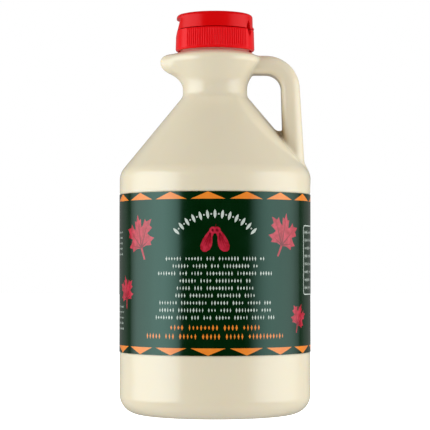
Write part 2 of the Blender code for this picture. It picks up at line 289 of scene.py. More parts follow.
# %% [markdown]
# Everything on the jug meets in rounds: a hollow mould can't be sharp. One way to model such
# rounds is a bevel on every edge, but bevels break where a handle grows out of a collar. Another
# way is to write the jug as a field, a formula that says how far a point is outside the surface.
# Fields are joined by a soft minimum, which leaves a round in each corner, and a fine mesh is then
# moved onto the place where the field is zero. The side of the jug is the first field. Its
# outline is a few corners with a round each, turned about the axis.

# %% The outline of the jug
neck_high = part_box("jug")[1]
BODY_RADIUS = neck_high.x / MM
NECK_TOP = neck_high.z / MM
CONE_ANGLE = math.radians(39.3)
SHOULDER_HEIGHT = 122.5
SHOULDER_ROUND = 9.5
WAIST_RADIUS = 16.5
WAIST_HEIGHT = 165.7
WAIST_ROUND_BELOW = 5.0
WAIST_ROUND_ABOVE = 10.2
NECK_RADIUS = 17.65
NECK_FOOT = 184.9
COLLAR_SLOPE = math.radians(27.0)
RIM_RADIUS = 23.4


def field_outline(corners):
    """Lines and arcs from corners (r, z, round), listed down the outer side of the shape."""
    lines = []
    arcs = []
    last = np.array(corners[0][:2])
    for before, corner, after in zip(corners, corners[1:], corners[2:]):
        at = np.array(corner[:2])
        arriving = at - np.array(before[:2])
        leaving = np.array(after[:2]) - at
        arriving = arriving / np.hypot(*arriving)
        leaving = leaving / np.hypot(*leaving)
        turn = math.atan2(arriving[0] * leaving[1] - arriving[1] * leaving[0], arriving @ leaving)
        reach = corner[2] * math.tan(abs(turn) / 2)
        begin = at - arriving * reach
        lines.append((last, begin))
        inward = np.array((arriving[1], -arriving[0])) * -np.sign(turn)
        centre = begin + inward * corner[2]
        start = math.atan2(*(begin - centre)[::-1])
        arcs.append((centre, corner[2], start + turn / 2, abs(turn) / 2, -np.sign(turn)))
        last = at + leaving * reach
    lines.append((last, np.array(corners[-1][:2])))
    return lines, arcs


rim_corner = NECK_FOOT - (RIM_RADIUS - NECK_RADIUS) * math.tan(COLLAR_SLOPE)
cone_top = SHOULDER_HEIGHT + (BODY_RADIUS - WAIST_RADIUS) / math.tan(CONE_ANGLE)
print(f"the rim's corner is at {rim_corner:.2f} mm, the cone begins under {cone_top:.2f} mm")

# %% [markdown]
# The film lies in a panel that is a little narrower than the body, so that it doesn't scuff. The
# underside is pushed up inside a flat ring, which lets the jug stand without rocking. The rim has
# a crisp edge round the collar and a softer one on the pouring lip, so there are two outlines that
# differ only there: in the rounds above and below the rim, and in how far the collar flares.

# %% Corners of the outline
label_low, label_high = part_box("label")
LABEL_BOTTOM = label_low.z / MM
LABEL_TOP = label_high.z / MM
PANEL_DEPTH = 0.3
PANEL_EDGE = 0.9
PANEL_ROUND = 1.5
NECK_TOP_ROUND = 0.5
NECK_FOOT_ROUND = 0.7
BASE_ROUND = 10.0
BASE_RING_INNER = 31.0
BASE_RING_ROUND = 3.0
BASE_RECESS = 3.2
RECESS_SLOPE = 7.0
RECESS_ROUND = 12.0
COLLAR_RIM = (2.2, 3.5, math.radians(32.4))
LIP_RIM = (3.6, 7.6, math.radians(52.2))


def side_outline(rim_round, round_below, flare):
    """The side's lines and arcs, for a rim of these two rounds and a collar flaring this much."""
    rim_height = rim_corner - rim_round * math.tan((math.pi / 2 - COLLAR_SLOPE) / 2)
    half_flare = math.tan(flare / 2)
    return field_outline([
        (0.0, NECK_TOP),
        (NECK_RADIUS, NECK_TOP, NECK_TOP_ROUND),
        (NECK_RADIUS, NECK_FOOT, NECK_FOOT_ROUND),
        (RIM_RADIUS, rim_corner, rim_round),
        (RIM_RADIUS, rim_height - round_below * half_flare, round_below - 0.05),
        (WAIST_RADIUS, WAIST_HEIGHT + WAIST_ROUND_ABOVE * half_flare, WAIST_ROUND_ABOVE),
        (WAIST_RADIUS, cone_top, WAIST_ROUND_BELOW),
        (BODY_RADIUS, SHOULDER_HEIGHT, SHOULDER_ROUND),
        (BODY_RADIUS, LABEL_TOP + PANEL_EDGE, PANEL_ROUND),
        (BODY_RADIUS - PANEL_DEPTH, LABEL_TOP + 0.1, PANEL_ROUND),
        (BODY_RADIUS - PANEL_DEPTH, LABEL_BOTTOM - 0.1, PANEL_ROUND),
        (BODY_RADIUS, LABEL_BOTTOM - PANEL_EDGE, PANEL_ROUND),
        (BODY_RADIUS, 0.0, BASE_ROUND),
        (BASE_RING_INNER + 0.5, 0.0, BASE_RING_ROUND),
        (BASE_RING_INNER - RECESS_SLOPE, BASE_RECESS - 0.5, RECESS_ROUND),
        (0.0, BASE_RECESS),
    ])


collar_outline = side_outline(*COLLAR_RIM)
lip_outline = side_outline(*LIP_RIM)
print(len(collar_outline[0]), "lines and", len(collar_outline[1]), "arcs make the outline")

# %% [markdown]
# The distance to the outline is the least of the distances to its lines and arcs. Its sign says
# which side of that nearest line or arc a point is on.

# %% Distance to the outline


def turned_distance(r, z, outline):
    """How far points (r, z) are outside a turned outline; inside is negative."""
    lines, arcs = outline
    nearest = np.full(r.shape, np.inf)
    signed = np.zeros(r.shape)
    for start, end in lines:
        run = end - start
        length = np.hypot(*run)
        run = run / length
        along = np.clip((r - start[0]) * run[0] + (z - start[1]) * run[1], 0.0, length)
        off_r = r - start[0] - along * run[0]
        off_z = z - start[1] - along * run[1]
        gap = np.hypot(off_r, off_z)
        closer = gap < nearest
        nearest = np.where(closer, gap, nearest)
        signed = np.where(closer, np.copysign(gap, off_z * run[0] - off_r * run[1]), signed)
    for centre, radius, middle, half, outward in arcs:
        from_r = r - centre[0]
        from_z = z - centre[1]
        swing = np.angle(np.exp(1j * (np.arctan2(from_z, from_r) - middle)))
        angle = middle + np.clip(swing, -half, half)
        gap = np.hypot(from_r - radius * np.cos(angle), from_z - radius * np.sin(angle))
        closer = gap < nearest
        nearest = np.where(closer, gap, nearest)
        side = (np.hypot(from_r, from_z) - radius) * outward
        signed = np.where(closer, np.copysign(gap, side), signed)
    return signed


probe = turned_distance(np.array([BODY_RADIUS + 1, 0.0]), np.array([60.0, 90.0]), collar_outline)
print("beside the panel, 1 mm outside the body, the field says", probe.round(3)[0])
print("on the axis it says", probe.round(1)[1])

# %% [markdown]
# The pouring lip isn't a separate spout: the collar itself is drawn out to a nose. Seen from
# above, the collar's circle and the nose's small circle share two straight flanks. The field for
# it is the turned one, asked at a point that is first moved back in by as much as the collar was
# drawn out there. Below the rim the drawing out grows evenly from the waist, and above the rim
# the rounded edge moves as it is. The crisp rim turns into the soft one where the flanks begin.

# %% The pouring lip
NOSE_RADIUS = 4.0
NOSE_X = 24.1
LIP_TOP_FULL = 21.3
LIP_BLEND = 1.2
LIP_HEIGHT = 179.8
SOFT_WHERE_DRAWN = 1.5
DRAWING_STARTS_OVER = 2.0
WIDEST_TURN = 1.2

flank_angle = math.acos((RIM_RADIUS - NOSE_RADIUS) / NOSE_X)
nose_angle = math.atan2(
    NOSE_RADIUS * math.sin(flank_angle), NOSE_X + NOSE_RADIUS * math.cos(flank_angle)
)


def smooth_step(t):
    t = np.clip(t, 0.0, 1.0)
    return t * t * (3 - 2 * t)


def drawn_out(x, y):
    """How much further than the round rim the lip reaches, in the direction of (x, y)."""
    angle = np.abs(np.arctan2(y, -x))
    small = np.minimum(angle, nose_angle)
    nose = NOSE_X * np.cos(small) + np.sqrt(NOSE_RADIUS**2 - (NOSE_X * np.sin(small)) ** 2)
    flank = RIM_RADIUS / np.cos(np.minimum(flank_angle - angle, WIDEST_TURN))
    reach = np.where(angle < nose_angle, nose, flank)
    return np.where(angle < flank_angle, reach - RIM_RADIUS, 0.0)


def side_field(x, y, z):
    """The turned side with its lip, asked at points x, y, z in millimetres."""
    r = np.hypot(x, y)
    extra = drawn_out(x, y)
    stretch = (RIM_RADIUS - WAIST_RADIUS) / (RIM_RADIUS + extra - WAIST_RADIUS)
    below = np.where(r > WAIST_RADIUS, WAIST_RADIUS + (r - WAIST_RADIUS) * stretch, r)
    above = r - extra * smooth_step((r - NECK_RADIUS) / (LIP_TOP_FULL + extra - NECK_RADIUS))
    upper = smooth_step((z - LIP_HEIGHT) / LIP_BLEND + 0.5)
    on_collar = smooth_step((z - WAIST_HEIGHT) / DRAWING_STARTS_OVER)
    pulled = below + (above - below) * upper
    moved = r + (pulled - r) * on_collar
    crisp = turned_distance(moved, z, collar_outline)
    soft = turned_distance(moved, z, lip_outline)
    return crisp + (soft - crisp) * smooth_step(extra / SOFT_WHERE_DRAWN)


print(f"the flanks leave the rim {math.degrees(flank_angle):.1f} degrees from the nose")

# %% [markdown]
# The handle is hollow and is blown with the jug, so it is as smooth as the rest. It leaves the
# collar level, bends down, and leans out a little to the shoulder. Its section is flatter towards
# the fingers and rounder outside, and a little larger at the foot. Its field measures a point
# across the handle's middle line and along y, and asks a rounded rectangle.

# %% The handle
GRIP_THICKNESS = 9.5
GRIP_WIDTH = 15.0
GRIP_LEVEL = 178.1
GRIP_BEND_X = 26.1
GRIP_BEND = 12.6
GRIP_LEAN = math.radians(2.55)
GRIP_LENGTH = 47.0
GRIP_START_X = 10.0
GRIP_GROWTH = 0.16
GRIP_ROUND_OUTSIDE = 4.6
GRIP_ROUND_INSIDE = 3.0

bend_z = GRIP_LEVEL - GRIP_BEND
lean_out = np.array((math.cos(GRIP_LEAN), math.sin(GRIP_LEAN)))
down = np.array((math.sin(GRIP_LEAN), -math.cos(GRIP_LEAN)))
bend_end = np.array((GRIP_BEND_X, bend_z)) + GRIP_BEND * lean_out


def grip_line(x, z):
    """(distance past the middle line's end, offset to its outer side, share of the way down)."""
    over = np.abs(x - np.clip(x, GRIP_START_X, GRIP_BEND_X))
    options = [(over, z - GRIP_LEVEL, np.zeros(x.shape))]
    swing = np.arctan2(z - bend_z, x - GRIP_BEND_X)
    past = np.abs(swing - np.clip(swing, GRIP_LEAN, math.pi / 2)) * GRIP_BEND
    options.append((past, np.hypot(x - GRIP_BEND_X, z - bend_z) - GRIP_BEND, np.zeros(x.shape)))
    along = (x - bend_end[0]) * down[0] + (z - bend_end[1]) * down[1]
    across = (x - bend_end[0]) * lean_out[0] + (z - bend_end[1]) * lean_out[1]
    share = np.clip(along / GRIP_LENGTH, 0.0, 1.0)
    options.append((np.abs(along - share * GRIP_LENGTH), across, share))
    distances = np.array([np.hypot(past, offset) for past, offset, share in options])
    choice = distances.argmin(axis=0)
    return [np.choose(choice, [option[i] for option in options]) for i in range(3)]


def grip_field(x, y, z):
    past, offset, share = grip_line(x, z)
    size = 1.0 + GRIP_GROWTH * share
    edge = np.where(offset > 0, GRIP_ROUND_OUTSIDE, GRIP_ROUND_INSIDE) * size
    flat = np.abs(offset) - GRIP_THICKNESS / 2 * size + edge
    side = np.abs(y) - GRIP_WIDTH / 2 * size + edge
    corner = np.hypot(np.maximum(flat, 0.0), np.maximum(side, 0.0))
    section = corner + np.minimum(np.maximum(flat, side), 0.0) - edge
    beyond = np.hypot(np.maximum(section, 0.0), past)
    return np.where(past > 0.001, beyond, section)


print("the handle's foot is", [round(c, 1) for c in bend_end + down * GRIP_LENGTH])

# %% [markdown]
# Two low forms tie the handle's foot to the cone: a ridge that starts near the waist and widens
# downwards, and a thin web of pinched plastic that closes the sharp corner under the gap. The
# ridge is a row of balls that grow along a line, mostly sunk in the cone.

# %% The ridge and the web
RIDGE_BALLS = ((14.2, 154.6, 6.0), (30.9, 125.5, 12.9), (36.8, 119.7, 11.7))
WEB_TOP = 144.4
WEB_BOTTOM = 121.0
WEB_HALF = 1.4
WEB_REACH = (27.0, 41.0)


def ridge_field(x, y, z):
    field = np.full(x.shape, np.inf)
    for (x1, z1, size1), (x2, z2, size2) in zip(RIDGE_BALLS, RIDGE_BALLS[1:]):
        run = np.array((x2 - x1, z2 - z1))
        share = np.clip(((x - x1) * run[0] + (z - z1) * run[1]) / (run @ run), 0.0, 1.0)
        gap = np.sqrt((x - x1 - share * run[0]) ** 2 + y**2 + (z - z1 - share * run[1]) ** 2)
        field = np.minimum(field, gap - size1 - share * (size2 - size1))
    return field


def web_field(x, y, z):
    sideways = np.abs(x - sum(WEB_REACH) / 2) - (WEB_REACH[1] - WEB_REACH[0]) / 2
    upright = np.abs(z - (WEB_TOP + WEB_BOTTOM) / 2) - (WEB_TOP - WEB_BOTTOM) / 2
    return np.maximum(np.maximum(np.abs(y) - WEB_HALF, upright), sideways)


print("the web is", 2 * WEB_HALF, "mm thick, and its edge is at", WEB_TOP, "mm")

# %% [markdown]
# A soft minimum joins the fields: where two of them are nearly equal it lies below both, which
# fills the corner between the shapes with a round. The round is wide where the handle leaves the
# collar and tight at its foot, where the photo shows a clear crease.

# %% The whole jug as one field
COLLAR_FILLET = 0.9
FOOT_FILLET = 1.6
RIDGE_FILLET = 1.6
WEB_FILLET = 1.2
FOOT_UP_TO = 150.0
COLLAR_FROM = 165.0


def soft_minimum(a, b, width):
    share = np.clip(0.5 + 0.5 * (b - a) / width, 0.0, 1.0)
    return b + (a - b) * share - width * share * (1.0 - share)


def jug_field(points):
    x, y, z = points.T
    high = smooth_step((z - FOOT_UP_TO) / (COLLAR_FROM - FOOT_UP_TO))
    body = soft_minimum(side_field(x, y, z), ridge_field(x, y, z), RIDGE_FILLET)
    fillet = FOOT_FILLET + (COLLAR_FILLET - FOOT_FILLET) * high
    whole = soft_minimum(body, grip_field(x, y, z), fillet)
    return soft_minimum(whole, web_field(x, y, z), WEB_FILLET)


def field_slope(field, points, step=0.02):
    """The direction in which a field grows, from differences each way along x, y and z."""
    slope = np.empty_like(points)
    for axis in range(3):
        shift = np.zeros(3)
        shift[axis] = step
        slope[:, axis] = (field(points + shift) - field(points - shift)) / (2 * step)
    return slope


print("inside the handle the field is", jug_field(np.array([[38.7, 0.0, 160.0]])).round(2))

# %% [markdown]
# The mesh starts as a copy of the jug's own solid. A voxel Remesh turns that into small even
# squares, and each corner then walks down the slope of the field until it is on the surface. In
# between, the corners are averaged with their neighbours, so the squares stay even. The slope is
# also the true direction of the surface, so it becomes the mesh's normals and reflections stay
# clean however the small faces lie.

# %% Fine mesh of the jug
VOXEL = 0.85
LONGEST_STEP = 1.5


def finished_mesh(helper):
    """The mesh that a helper object's modifiers make. The helper is removed."""
    bpy.context.view_layer.update()
    graph = bpy.context.evaluated_depsgraph_get()
    mesh = bpy.data.meshes.new_from_object(helper.evaluated_get(graph))
    bpy.data.objects.remove(helper)
    return mesh


def fine_grid(node, voxel):
    """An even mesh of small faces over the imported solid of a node."""
    rough = bpy.data.objects.new("rough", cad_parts[node].data.copy())
    scene.collection.objects.link(rough)
    remesh = rough.modifiers.new("small squares", "REMESH")
    remesh.mode = "VOXEL"
    remesh.voxel_size = voxel * MM
    mesh = finished_mesh(rough)
    mesh.materials.clear()
    return mesh


def settle(field, points, rounds):
    """Moves points to where the field is zero."""
    for _ in range(rounds):
        slope = field_slope(field, points)
        steps = field(points) / np.maximum((slope**2).sum(axis=1), 0.05)
        points = points - slope * np.clip(steps, -LONGEST_STEP, LONGEST_STEP)[:, None]
    return points


def relax(points, edges, share):
    """Moves each point towards the middle of its neighbours."""
    total = np.zeros_like(points)
    count = np.zeros(len(points))
    for here, there in ((edges[:, 0], edges[:, 1]), (edges[:, 1], edges[:, 0])):
        for axis in range(3):
            total[:, axis] += np.bincount(here, points[there, axis], len(points))
        count += np.bincount(here, minlength=len(points))
    return points + (total / count[:, None] - points) * share


def fit_to_field(mesh, field):
    """Settles a mesh in metres on a field in millimetres, and says how far off it stays."""
    points = np.empty(len(mesh.vertices) * 3)
    mesh.vertices.foreach_get("co", points)
    points = points.reshape(-1, 3) / MM
    edges = np.empty(len(mesh.edges) * 2, dtype=np.int64)
    mesh.edges.foreach_get("vertices", edges)
    edges = edges.reshape(-1, 2)
    points = settle(field, points, 2)
    for _ in range(2):
        points = settle(field, relax(points, edges, 0.5), 1)
    points = settle(field, points, 2)
    slope = field_slope(field, points)
    normals = slope / np.linalg.norm(slope, axis=1)[:, None]
    mesh.vertices.foreach_set("co", (points * MM).ravel())
    mesh.shade_smooth()
    mesh.update()
    mesh.normals_split_custom_set_from_vertices(normals)
    return np.abs(field(points)).max()


def add_piece(name, mesh, node, materials):
    """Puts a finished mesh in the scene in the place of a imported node."""
    piece = bpy.data.objects.new(name, mesh)
    scene.collection.objects.link(piece)
    for material in materials:
        mesh.materials.append(material)
    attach(piece, "root")
    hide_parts(node)
    print(name, "measures", [round(side, 4) for side in piece.dimensions], "m")


jug_mesh = fine_grid("jug", VOXEL)
left_over = fit_to_field(jug_mesh, jug_field)
jug_mesh.name = "jug_skin"
print(len(jug_mesh.vertices), "corners, furthest from the surface:", round(left_over, 4), "mm")

# %% [markdown]
# The jug is polyethylene, tinted cream. It is waxy: light goes a little way in, and the shine is
# broad and soft. Blow moulding leaves a very fine unevenness, slow waves where the wall was
# thicker, and a thin raised line where the two halves of the mould met, which here is the plane
# through the lip and the handle. The waves and the line are far thinner than the mesh's faces, so
# they are bump.
#
# Two kinds of painted light change the cream. In a narrow gap, such as the one under the handle,
# light bounces from cream to cream and inside the wall, and each bounce makes it browner. That
# shade is painted: an Ambient Occlusion node measures how closed in a point is, and mixes a brown
# in. And the shoulder of the neck, close under the cap, is painted with red light that the cap
# reflects and throws onto it, fading with the distance from the cap's middle.

# %% Cream plastic
CREAM = (0.79, 0.708, 0.54)
CREAM_DEEP = (0.775, 0.69, 0.515)
PAINTED_GAP_SHADE = (0.46, 0.33, 0.18)
CAP_LIGHT_PAINTED_RED = (0.98, 0.42, 0.34)
GAP_REACH = 13.0
CAP_LIGHT_CENTRE = 190.0
CAP_LIGHT_NEAR = 19.8
CAP_LIGHT_FAR = 21.8
CAP_LIGHT_SHARE = 0.9
SEAM_HALF = 0.22


def shader_material(name):
    """A material, its Principled shader and a node maker for its tree."""
    material = bpy.data.materials.new(name)
    material.use_nodes = True
    return material, material.node_tree.nodes["Principled BSDF"], node_maker(material.node_tree)


def mottled(make, place, scale, detail=3.0):
    """A noise from 0 to 1 at a scale given in waves per metre."""
    noise = make("ShaderNodeTexNoise", {"Vector": place, "Scale": scale, "Detail": detail})
    return noise.outputs[0]


def varied(make, factor, first, second):
    """A colour that a factor moves between two colours; the first may come from a node."""
    if not isinstance(first, bpy.types.NodeSocket):
        first = (*first, 1.0)
    mix = make("ShaderNodeMix", {0: factor, 6: first, 7: (*second, 1.0)}, data_type="RGBA")
    return mix.outputs[2]


def bumped(make, *layers):
    """The normal bent by layers of bump, each a height, its distance in metres and a strength."""
    over = {}
    for height, distance, strength in layers:
        bump = make("ShaderNodeBump", {
            "Height": height, "Distance": distance, "Strength": strength, **over,
        })
        over = {"Normal": bump.outputs[0]}
    return bump.outputs[0]


def make_cream_plastic():
    material, shader, make = shader_material("cream_plastic")
    place = make("ShaderNodeTexCoord").outputs["Object"]
    waves = mottled(make, place, 45.0, 1.0)
    grain = mottled(make, place, 900.0, 1.0)
    # Painted shade: a brown is mixed in where the Ambient Occlusion node finds a narrow gap.
    openness = make("ShaderNodeAmbientOcclusion", {"Distance": GAP_REACH * MM}, samples=8)
    gap_shade = ranged(make, openness.outputs["AO"], 1.0, 0.0, 0.25, 0.86)
    # Painted light: red reflected and thrown by the cap onto the neck's shoulder, fading with
    # distance.
    cap_middle = (0.0, 0.0, CAP_LIGHT_CENTRE * MM)
    from_cap = make("ShaderNodeVectorMath", {0: place, 1: cap_middle}, operation="DISTANCE")
    painted_cap_light = ranged(make, from_cap.outputs["Value"], CAP_LIGHT_SHARE, 0.0, CAP_LIGHT_NEAR * MM, CAP_LIGHT_FAR * MM)
    cream = varied(make, waves, CREAM, CREAM_DEEP)
    cream = varied(make, gap_shade, cream, PAINTED_GAP_SHADE)
    cream = varied(make, painted_cap_light, cream, CAP_LIGHT_PAINTED_RED)
    across_seam = make("ShaderNodeSeparateXYZ", {0: place}).outputs["Y"]
    from_seam = worked_out(make, "ABSOLUTE", across_seam)
    seam = ranged(make, from_seam, 1.0, 0.0, 0.0, SEAM_HALF * MM)
    fill(shader, {
        "Base Color": cream,
        "Roughness": ranged(make, waves, 0.14, 0.18),
        "Normal": bumped(make, (waves, 0.0003, 0.3), (grain, 0.00001, 0.4), (seam, 0.00012, 0.8)),
        "Subsurface Weight": 0.5,
        "Subsurface Radius": (1.0, 0.75, 0.45),
        "Subsurface Scale": 0.003,
        "IOR": 1.52,
        "Specular IOR Level": 1.0,
        "Specular Tint": (0.92, 0.96, 1.0, 1.0),
    })
    return material


add_piece("jug_skin", jug_mesh, "jug", [make_cream_plastic()])

# %% [markdown]
# The film is printed flat and then wrapped, so its design is drawn flat here too, in millimetres:
# across is the way round the jug from the middle of the front, up is the height. Each printed
# shape is an outline in a list with its ink. Later shapes lie over earlier ones. The whole list
# is then cut into one sheet of triangles, so every edge is crisp from any distance, which an image
# of a handy size isn't.

# %% The sheet and its borders
FILM_RADIUS = label_high.x / MM
FILM_THICKNESS = 0.25
INKS = ("green", "orange", "white", "leaf", "vein")
TRIANGLES = 16
TRIANGLE_HEIGHT = 3.55
TRIANGLE_SHARE = 0.89
BORDER_TURN = math.radians(-4.0)
BORDER_EDGES = ((LABEL_TOP - 0.1, -1), (LABEL_BOTTOM + 0.1, 1))

sheet_half = math.pi * FILM_RADIUS
shapes = []


def print_shape(ink, outline):
    """Adds a filled outline. Its corners are kept in anticlockwise order."""
    points = [(float(across), float(up)) for across, up in outline]
    doubled_area = sum(a[0] * b[1] - b[0] * a[1] for a, b in zip(points, points[1:] + points[:1]))
    shapes.append((INKS.index(ink), points if doubled_area > 0 else points[::-1]))


def cut_off(outline, end):
    """What is left of an outline when the part beyond one end of the sheet is cut off."""
    kept = []
    for before, point in zip(outline[-1:] + outline[:-1], outline):
        inside = point[0] * end <= end * end
        if inside != (before[0] * end <= end * end):
            share = (end - before[0]) / (point[0] - before[0])
            kept.append((end, before[1] + share * (point[1] - before[1])))
        if inside:
            kept.append(point)
    return kept


def print_borders():
    """The rows of triangles along both edges of the film; the seam cuts one of them in two."""
    pitch = 2 * sheet_half / TRIANGLES
    half = pitch * TRIANGLE_SHARE / 2
    first = BORDER_TURN * FILM_RADIUS
    for i in range(-TRIANGLES // 2 + 1, TRIANGLES // 2 + 1):
        middles = [first + i * pitch]
        if middles[0] + half > sheet_half:
            middles.append(middles[0] - 2 * sheet_half)
        for middle, (edge, way) in itertools.product(middles, BORDER_EDGES):
            foot = edge + way * TRIANGLE_HEIGHT
            corners = [(middle - half, foot), (middle + half, foot), (middle, edge)]
            print_shape("orange", cut_off(cut_off(corners, sheet_half), -sheet_half))


print_borders()
print(len(shapes), "triangles on a sheet", round(2 * sheet_half, 1), "mm long")

# %% [markdown]
# Rows of small lozenges fill the front, short and long, the way lines of print do: they come in
# groups with a space between, and each row is centred. They are plain ornament and spell nothing.
# The groups are drawn by a seeded random number generator, so that they are the same every time.

# %% Rows of lozenges
ROW_TOP = 78.6
ROW_PITCH = 3.58
ROW_LENGTHS = (51.5, 44.8, 61.0, 37.2, 39.0, 41.2, 59.6, 59.6, 63.6)
LOZENGE_WIDTH = 1.0
LOZENGE_HEIGHT = 2.4
LOZENGE_STEP = 1.5
ACCENT_ROWS = ((45.1, 46.4), (40.8, 76.0))
ACCENT_SCALE = 1.28

draw = random.Random(7)


def lozenge(across, up, width, height):
    return [
        (across - width / 2, up), (across, up - height / 2),
        (across + width / 2, up), (across, up + height / 2),
    ]


def print_row(ink, length, up, scale, start=None):
    """One row of lozenges in groups of three to nine, centred, or from a start."""
    step = LOZENGE_STEP * scale
    places = int(length / step)
    across = -(places - 1) * step / 2 if start is None else start
    left_in_group = draw.randint(4, 8)
    for i in range(places):
        if left_in_group == 0 and i < places - 2:
            left_in_group = draw.randint(3, 9)
            continue
        left_in_group = max(left_in_group - 1, 0)
        width = LOZENGE_WIDTH * scale * draw.uniform(0.6, 1.0)
        height = LOZENGE_HEIGHT * scale * draw.choice((0.7, 0.9, 1.0, 1.0))
        print_shape(ink, lozenge(across + i * step, up, width, height))


for row, length in enumerate(ROW_LENGTHS):
    print_row("white", length, ROW_TOP - row * ROW_PITCH, 1.0)
for up, length in ACCENT_ROWS:
    print_row("orange", length, up, ACCENT_SCALE)
print(len(shapes), "shapes after the rows")

# %% [markdown]
# Above the rows stands a garland, an arch of slim darts that point outwards, with a dot between
# each two. Under it hangs a pair of maple seeds, two wings that meet at their seeds.

# %% The garland
GARLAND_RADIUS = 26.5
GARLAND_CENTRE = 73.9
GARLAND_HALF = math.radians(47.0)
DARTS = 13
DART_LENGTH = 4.4
DART_WIDTH = 1.5
DOT_RADIUS = 0.42


def disc(across, up, radius, sides=10):
    turns = [2 * math.pi * i / sides for i in range(sides)]
    return [(across + radius * math.cos(t), up + radius * math.sin(t)) for t in turns]


def dart(angle):
    """A pointed oval across the arch at an angle from upright."""
    outline = []
    for i in range(12):
        turn = 2 * math.pi * i / 12
        along = math.cos(turn) * DART_LENGTH / 2
        side = math.sin(turn) * abs(math.sin(turn)) ** 0.6 * DART_WIDTH / 2
        reach = GARLAND_RADIUS + along
        outline.append((
            reach * math.sin(angle) + side * math.cos(angle),
            GARLAND_CENTRE + reach * math.cos(angle) - side * math.sin(angle),
        ))
    return outline[::-1]


def print_garland():
    for i in range(DARTS):
        angle = GARLAND_HALF * (2 * i / (DARTS - 1) - 1)
        print_shape("white", dart(angle))
        if i < DARTS - 1:
            between = angle + GARLAND_HALF / (DARTS - 1)
            across = GARLAND_RADIUS * math.sin(between)
            up = GARLAND_CENTRE + GARLAND_RADIUS * math.cos(between)
            print_shape("white", disc(across, up, DOT_RADIUS))


print_garland()
print(len(shapes), "shapes after the garland")

# %% [markdown]
# A maple leaf has five lobes with a few teeth each. Half of its outline is listed once, from the
# top point to the stem, and mirrored, so the leaf is a plain figure. Slim darts along the lobes
# are its veins. Each leaf on the film is this one, turned and sized, and bent a little sideways so
# that no two look alike.

# %% Leaves
HALF_LEAF = (
    (0.0, 1.0), (0.10, 0.72), (0.22, 0.76), (0.20, 0.40), (0.33, 0.47), (0.47, 0.70), (0.55, 0.56),
    (0.86, 0.60), (0.72, 0.36), (0.84, 0.22), (0.52, 0.06), (0.66, -0.10), (0.86, -0.22),
    (0.60, -0.34), (0.62, -0.48), (0.30, -0.42), (0.06, -0.46), (0.045, -0.98),
)
VEIN_TIPS = ((0.0, 0.80), (0.60, 0.46), (-0.60, 0.46), (0.58, -0.22), (-0.58, -0.22))
VEIN_FOOT = (0.0, -0.44)
VEIN_WIDTH = 0.075
LEAVES = (
    (-42.4, 89.0, 11.6, 14.0, 0.10),
    (37.6, 90.0, 11.2, -16.0, -0.12),
    (49.4, 49.2, 7.6, -20.0, 0.10),
    (-55.2, 62.0, 8.4, 8.0, -0.08),
    (118.0, 84.0, 11.4, 18.0, 0.10),
    (-104.0, 70.0, 9.6, -14.0, -0.10),
    (140.0, 56.0, 7.8, -8.0, 0.08),
)


def leaf_mapper(across, up, size, turn, bend):
    """A function that puts a point of the plain leaf on the film."""
    turn = math.radians(turn)

    def put(point):
        x = point[0] + bend * point[1] ** 2
        y = point[1]
        return (
            across + size * (x * math.cos(turn) - y * math.sin(turn)),
            up + size * (x * math.sin(turn) + y * math.cos(turn)),
        )

    return put


def sliver(foot, tip, width):
    """A long triangle from foot to tip."""
    run = Vector(tip) - Vector(foot)
    side = Vector((-run.y, run.x)).normalized() * width / 2
    return [Vector(foot) - side, Vector(foot) + side, Vector(tip)][::-1]


def print_leaf(across, up, size, turn, bend):
    put = leaf_mapper(across, up, size, turn, bend)
    left = [(-x, y) for x, y in HALF_LEAF[:0:-1]]
    print_shape("leaf", [put(point) for point in (left + list(HALF_LEAF))[::-1]])
    for tip in VEIN_TIPS:
        print_shape("vein", [put(point) for point in sliver(VEIN_FOOT, tip, VEIN_WIDTH)])


for leaf in LEAVES:
    print_leaf(*leaf)
print(len(shapes), "shapes after the leaves")

# %% [markdown]
# The maple seeds under the garland hang from one short stem: two round seeds, each with one long
# wing. A wing is listed once along a line from 0 to 1, nearly straight at its front edge and full
# at the back, with a fan of slivers for its ribs. The second wing is the first one mirrored.

# %% Maple seeds
SEEDS_TOP = (0.0, 92.6)
WING_LENGTH = 11.6
WING_LEAN = math.radians(-58.0)
WING = (
    (0.00, 0.10), (0.16, 0.13), (0.36, 0.16), (0.60, 0.16), (0.84, 0.11), (0.97, 0.01),
    (1.00, -0.11), (0.93, -0.24), (0.78, -0.32), (0.60, -0.31), (0.42, -0.23), (0.26, -0.13),
    (0.08, -0.10),
)
WING_RIBS = ((0.92, 0.00), (0.93, -0.13), (0.80, -0.24), (0.62, -0.24), (0.44, -0.16))
WING_RIB_FOOT = (0.10, 0.05)
WING_RIB_WIDTH = 0.42
STEM_WIDTH = 0.8
SEED_AT = (0.02, 0.0)
SEED_SIZE = 1.75
SEED_EYE_SHARE = 0.42
SEED_GAP = 0.9


def wing_point(side, point):
    """A point of the plain wing, hung from the stem on one side or the other."""
    along, across = point
    x = WING_LENGTH * (along * math.cos(WING_LEAN) - across * math.sin(WING_LEAN))
    y = WING_LENGTH * (along * math.sin(WING_LEAN) + across * math.cos(WING_LEAN))
    return (SEEDS_TOP[0] + side * (x + SEED_GAP), SEEDS_TOP[1] + y)


def print_seeds():
    print_shape("vein", sliver((0.0, SEEDS_TOP[1] - 0.4), (0.5, SEEDS_TOP[1] + 3.4), STEM_WIDTH))
    for side in (-1, 1):
        print_shape("leaf", [wing_point(side, point) for point in WING])
        for tip in WING_RIBS:
            foot = wing_point(side, WING_RIB_FOOT)
            print_shape("vein", sliver(foot, wing_point(side, tip), WING_RIB_WIDTH))
        seed = wing_point(side, SEED_AT)
        print_shape("leaf", disc(*seed, SEED_SIZE, 18))
        print_shape("vein", disc(*seed, SEED_SIZE * SEED_EYE_SHARE))


print_seeds()
print(len(shapes), "shapes after the seeds")

# %% [markdown]
# Further round, where such a film carries its small print, a thin white frame with rows of
# lozenges inside stands on the right, and two groups of short rows on the left. The frame is a
# rounded outline with a smaller green one laid over it.

